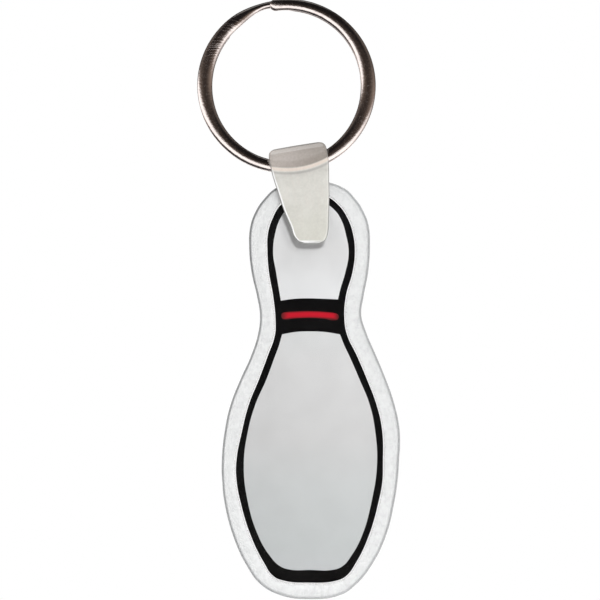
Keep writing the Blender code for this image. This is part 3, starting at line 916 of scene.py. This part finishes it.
def printed_pin():
    stud_z = STUD.z
    head = print_look(
        "head_print",
        ((0.0, (0.715, 0.72, 0.725)), (0.5, (0.70, 0.70, 0.70)), (0.85, (0.705, 0.71, 0.715)), (1.0, (0.715, 0.72, 0.725))),
        stud_z + HEAD_TOP, stud_z + BAND_TOP, 0.02, lean=0.03,
    ).material
    belly = print_look(
        "belly_print",
        (
            (0.0, (0.63, 0.64, 0.64)),
            (0.12, (0.622, 0.622, 0.622)),
            (0.45, (0.57, 0.57, 0.57)),
            (0.65, (0.53, 0.545, 0.545)),
            (0.9, (0.49, 0.51, 0.51)),
            (1.0, (0.495, 0.51, 0.515)),
        ),
        stud_z + BAND_BOTTOM, stud_z + BELLY_BOTTOM, 0.02, lean=0.05,
    ).material
    black = print_look(
        "black_print",
        ((0.0, (0.003, 0.003, 0.0035)), (1.0, (0.0035, 0.0035, 0.0035))),
        stud_z + PIN_TOP, stud_z + PIN_BOTTOM, 0.25, 0.5, 0.09,
    ).material
    red = print_look("red_print", ((0.0, (0.54, 0.008, 0.022)), (1.0, (0.50, 0.008, 0.022))), stud_z - 15, stud_z - 16.2, 0.05, 0.45, 0.25)
    # The stripe's ink thins out into the black all round, most at its two ends.
    x, _, z = red.split(red.mm())
    across = red.math("SUBTRACT", x, STUD.x)
    share = red.math("DIVIDE", across, 5.0)
    middle = red.math("SUBTRACT", stud_z + STRIPE_MID, red.math("MULTIPLY", red.math("MULTIPLY", share, share), 0.3))
    away = red.math("ABSOLUTE", red.math("SUBTRACT", z, middle))
    ends = red.math("MAXIMUM", red.between(across, -4.65, -3.2, 0.9, 0.0), red.between(across, 3.9, 5.0, 0.0, 0.9))
    thin = red.math("MAXIMUM", ends, red.between(away, 0.24, 0.62, 0.0, 0.9))
    ink = red.shader.inputs["Base Color"].links[0].from_socket
    red.set(Base_Color=red.mix(thin, ink, (0.05, 0.012, 0.012)))
    printed("head_print", [head_outline(0.0)], head, "head_panel", True)
    printed("belly_print", [belly_outline(0.0)], belly, "belly_panel")
    printed("neck_stripe_print", [stripe_outline(0.0)], red.material, "neck_stripe")
    printed(
        "outline_print",
        [(outline(PIN_STATIONS, PIN_TOP, PIN_BOTTOM), ()), head_outline(), belly_outline(), stripe_outline()],
        black, "pin_outline",
    )


# ---------------------------------------------------------------- studio
def world():
    """White behind the object, soft white light, and a dark room with a bright low
    wall for what the metal mirrors."""
    made = bpy.data.worlds.new("studio")
    made.use_nodes = True
    tree = made.node_tree
    tree.nodes.clear()

    def node(kind, **settings):
        new = tree.nodes.new(kind)
        for key, value in settings.items():
            setattr(new, key, value)
        return new

    def maths(operation, a, b):
        new = node("ShaderNodeMath", operation=operation)
        for socket, value in zip(new.inputs, (a, b)):
            if isinstance(value, bpy.types.NodeSocket):
                tree.links.new(value, socket)
            else:
                socket.default_value = value
        return new.outputs[0]

    def step(value, low, high):
        new = node("ShaderNodeMapRange", interpolation_type="SMOOTHSTEP")
        tree.links.new(value, new.inputs["Value"])
        new.inputs["From Min"].default_value = low
        new.inputs["From Max"].default_value = high
        return new.outputs["Result"]

    def blended(factor, one, two):
        new = node("ShaderNodeMix", data_type="RGBA")
        for socket, value in zip((new.inputs[0], new.inputs[6], new.inputs[7]), (factor, one, two)):
            if isinstance(value, bpy.types.NodeSocket):
                tree.links.new(value, socket)
            else:
                socket.default_value = (*value, 1)
        return new.outputs[2]

    # What the metal mirrors, by direction: a bright curved strip a little below the
    # horizon, brown beside it, and near black above.
    coord = node("ShaderNodeTexCoord")
    split = node("ShaderNodeSeparateXYZ")
    tree.links.new(coord.outputs["Generated"], split.inputs[0])
    x, y, z = split.outputs
    off = maths("SUBTRACT", x, 0.2)
    left, right = maths("MINIMUM", off, 0.0), maths("MAXIMUM", off, 0.0)
    rise = maths("ADD", maths("MULTIPLY", maths("MULTIPLY", left, left), 0.28), maths("MULTIPLY", maths("MULTIPLY", right, right), 0.25))
    drop = maths("MULTIPLY", step(x, 0.0, 0.4), 0.07)
    gap = maths("SUBTRACT", z, maths("SUBTRACT", maths("SUBTRACT", rise, 0.40), drop))
    low = maths("ADD", gap, maths("MULTIPLY", step(x, -0.6, -0.1), 0.1))
    strip = maths("MULTIPLY", step(low, -0.32, -0.14), maths("SUBTRACT", 1.0, step(gap, 0.12, 0.34)))
    strip = maths("MULTIPLY", strip, maths("SUBTRACT", 1.0, maths("MULTIPLY", step(x, 0.62, 0.95), 0.65)))
    side = maths("ABSOLUTE", x, 0.0)
    level = blended(step(side, 0.0, 0.9), (0.045, 0.033, 0.027), (0.25, 0.19, 0.155))
    high = blended(step(side, 0.35, 0.9), (0.010, 0.008, 0.008), (0.13, 0.105, 0.09))
    level = blended(step(z, 0.0, 0.32), level, high)
    level = blended(maths("SUBTRACT", 1.0, step(low, -0.42, -0.2)), level, (0.045, 0.042, 0.045))
    level = blended(step(z, 0.84, 0.96), level, (0.22, 0.21, 0.20))
    mirror = blended(strip, level, (1.25, 1.17, 1.14))
    beside = maths("MULTIPLY", step(y, 0.02, 0.22), maths("SUBTRACT", 1.0, step(y, 0.42, 0.66)))
    mirror = blended(beside, mirror, (0.03, 0.028, 0.028))

    room = node("ShaderNodeBackground")
    tree.links.new(mirror, room.inputs["Color"])
    soft = node("ShaderNodeBackground")
    soft.inputs["Color"].default_value = (1.0, 1.0, 1.0, 1)
    soft.inputs["Strength"].default_value = 0.26
    plain = node("ShaderNodeBackground")
    plain.inputs["Color"].default_value = (1.0, 1.0, 1.0, 1)
    path = node("ShaderNodeLightPath")
    one = node("ShaderNodeMixShader")
    tree.links.new(path.outputs["Is Glossy Ray"], one.inputs[0])
    tree.links.new(soft.outputs[0], one.inputs[1])
    tree.links.new(room.outputs[0], one.inputs[2])
    two = node("ShaderNodeMixShader")
    tree.links.new(path.outputs["Is Camera Ray"], two.inputs[0])
    tree.links.new(one.outputs[0], two.inputs[1])
    tree.links.new(plain.outputs[0], two.inputs[2])
    out = node("ShaderNodeOutputWorld")
    tree.links.new(two.outputs[0], out.inputs["Surface"])
    bpy.context.scene.world = made


def area(name, place, aim, size, power, glossy=False):
    data = bpy.data.lights.new(name, "AREA")
    data.shape = "DISK"
    data.size = size
    data.energy = power
    obj = bpy.data.objects.new(name, data)
    bpy.context.scene.collection.objects.link(obj)
    obj.location = place
    obj.rotation_euler = (Vector(aim) - Vector(place)).to_track_quat("-Z", "Y").to_euler()
    obj.visible_glossy = glossy
    return obj


def studio():
    world()
    middle = Vector((0.003, 0, -0.048))
    area("key", middle + Vector((0.10, -0.41, 0.27)), middle, 0.09, 1.69)
    area("top_key", middle + Vector((0.20, -0.30, 0.32)), middle, 0.14, 0.52)
    area("back_key", middle + Vector((-0.26, 0.36, 0.30)), middle, 0.16, 2.9)

    bm = bmesh.new()
    bmesh.ops.create_circle(bm, cap_ends=True, segments=96, radius=0.2)
    data = bpy.data.meshes.new("floor")
    bm.to_mesh(data)
    bm.free()
    floor = bpy.data.objects.new("floor", data)
    bpy.context.scene.collection.objects.link(floor)
    floor.location = (0.002, 0, -0.125)
    look = Look("floor")
    place = look.mm()
    x, y, _ = look.split(place)
    away = look.math("POWER", look.math("ADD", look.math("MULTIPLY", x, x), look.math("MULTIPLY", y, y)), 0.5)
    look.set(
        Base_Color=look.mix(look.noise(place, 0.02, 2.0), (0.93, 0.93, 0.93), (0.90, 0.90, 0.90)),
        Roughness=0.7,
        Specular_IOR_Level=0.1,
        Alpha=look.between(away, 70.0, 195.0, 1.0, 0.0),
        Emission_Color=(1.0, 1.0, 1.0),
        Emission_Strength=0.12,
    )
    data.materials.append(look.material)
    floor.visible_glossy = False


def camera():
    data = bpy.data.cameras.new("camera")
    data.lens = 135
    data.sensor_width = 36
    data.clip_start = 0.01
    data.clip_end = 10
    obj = bpy.data.objects.new("camera", data)
    bpy.context.scene.collection.objects.link(obj)
    obj.location = (0.002261, -0.3769, -0.04834)
    obj.rotation_euler = (math.radians(90), 0, 0)
    bpy.context.scene.camera = obj


bpy.context.scene.view_settings.view_transform = "Standard"
split_ring()
strap()
clear = vinyl_look()
vinyl_sheet("face_vinyl", -1, "face_sheet", clear)
vinyl_sheet("rear_vinyl", 1, "rear_sheet", clear)
printed_pin()
studio()
camera()
